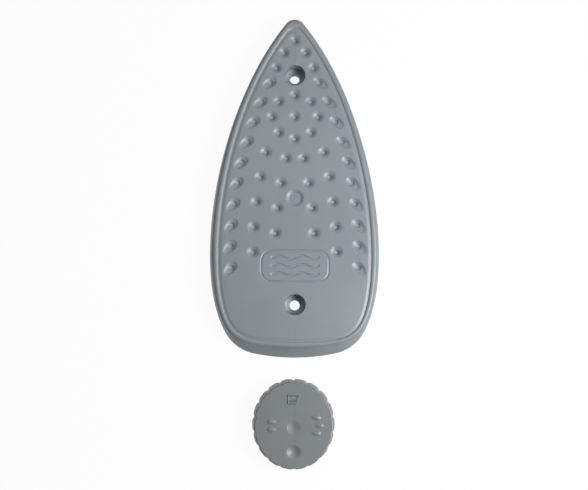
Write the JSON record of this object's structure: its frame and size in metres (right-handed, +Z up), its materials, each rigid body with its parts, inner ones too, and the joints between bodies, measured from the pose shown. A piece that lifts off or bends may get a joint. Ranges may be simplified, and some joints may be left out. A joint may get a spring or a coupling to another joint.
{
  "type": "toy iron soleplate and dial",
  "caption": "Hollow moulded soleplate of a toy iron with dimples and screw wells, lying beside its loose scalloped heat dial.",
  "frame": {"origin": "on the table, at the middle of the bounding box of the two pieces as they lie", "axes": "+Z up out of the sole face, +Y towards the nose of the soleplate, +X to the right seen from above with the nose away"},
  "size_m": [0.09, 0.24, 0.012],
  "materials": {
    "soleplate_plastic": "satin silver-grey, fine grain",
    "dial_plastic": "satin silver-grey, fine grain"
  },
  "bodies": {
    "plate": {"soleplate": "soleplate_plastic"},
    "heat_dial": {"dial": "dial_plastic"}
  },
  "joints": [
    {"name": "dial_turn", "type": "hinge", "parent": "plate", "child": "heat_dial", "pos_m": [-0.0006, -0.0968, 0], "axis": [0, 0, 1], "range_deg": [-90, 90]}
  ]
}
